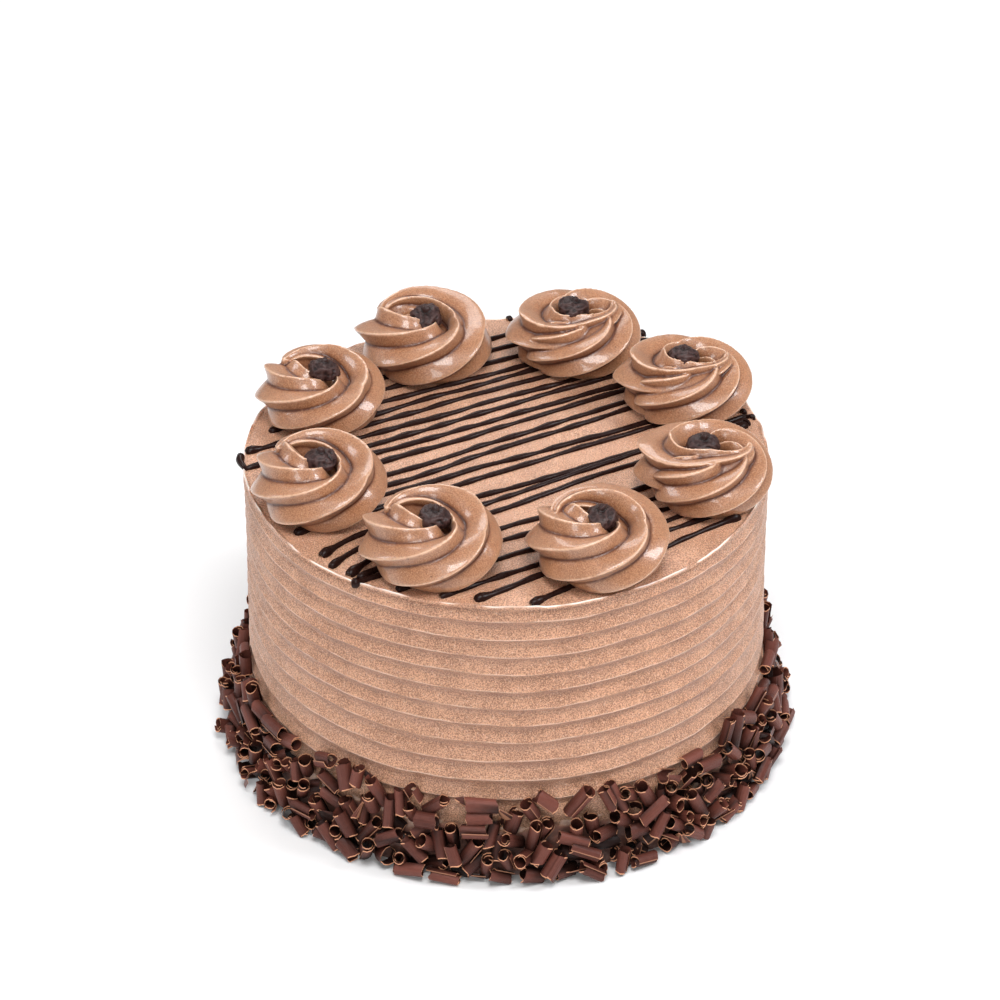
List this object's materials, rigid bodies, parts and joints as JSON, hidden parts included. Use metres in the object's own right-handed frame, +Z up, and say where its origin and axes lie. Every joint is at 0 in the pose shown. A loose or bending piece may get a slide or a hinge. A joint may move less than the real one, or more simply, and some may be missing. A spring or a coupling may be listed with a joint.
{
  "type": "layer cake",
  "caption": "Round frosted cake with a combed side, fine drizzle, a ring of piped rosettes each topped by a drop, and curls round the foot.",
  "frame": {"origin": "centre of the flat underside of the cake", "axes": "+Z up from the underside to the rosettes; -Y faces the viewer of the picture"},
  "size_m": [0.1728, 0.1717, 0.1139],
  "materials": {
    "buttercream": "soft matt buttercream, smoothed and combed, with fine dark specks",
    "rosette_cream": "piped buttercream with a soft satin sheen",
    "dark_chocolate": "dark chocolate drops with a dull skin"
  },
  "bodies": {
    "root": {"frosted_cake": "buttercream", "rosette_1": "rosette_cream", "rosette_2": "rosette_cream", "rosette_3": "rosette_cream", "rosette_4": "rosette_cream", "rosette_5": "rosette_cream", "rosette_6": "rosette_cream", "rosette_7": "rosette_cream", "rosette_8": "rosette_cream", "chocolate_drop_1": "dark_chocolate", "chocolate_drop_2": "dark_chocolate", "chocolate_drop_3": "dark_chocolate", "chocolate_drop_4": "dark_chocolate", "chocolate_drop_5": "dark_chocolate", "chocolate_drop_6": "dark_chocolate", "chocolate_drop_7": "dark_chocolate", "chocolate_drop_8": "dark_chocolate"}
  },
  "joints": []
}
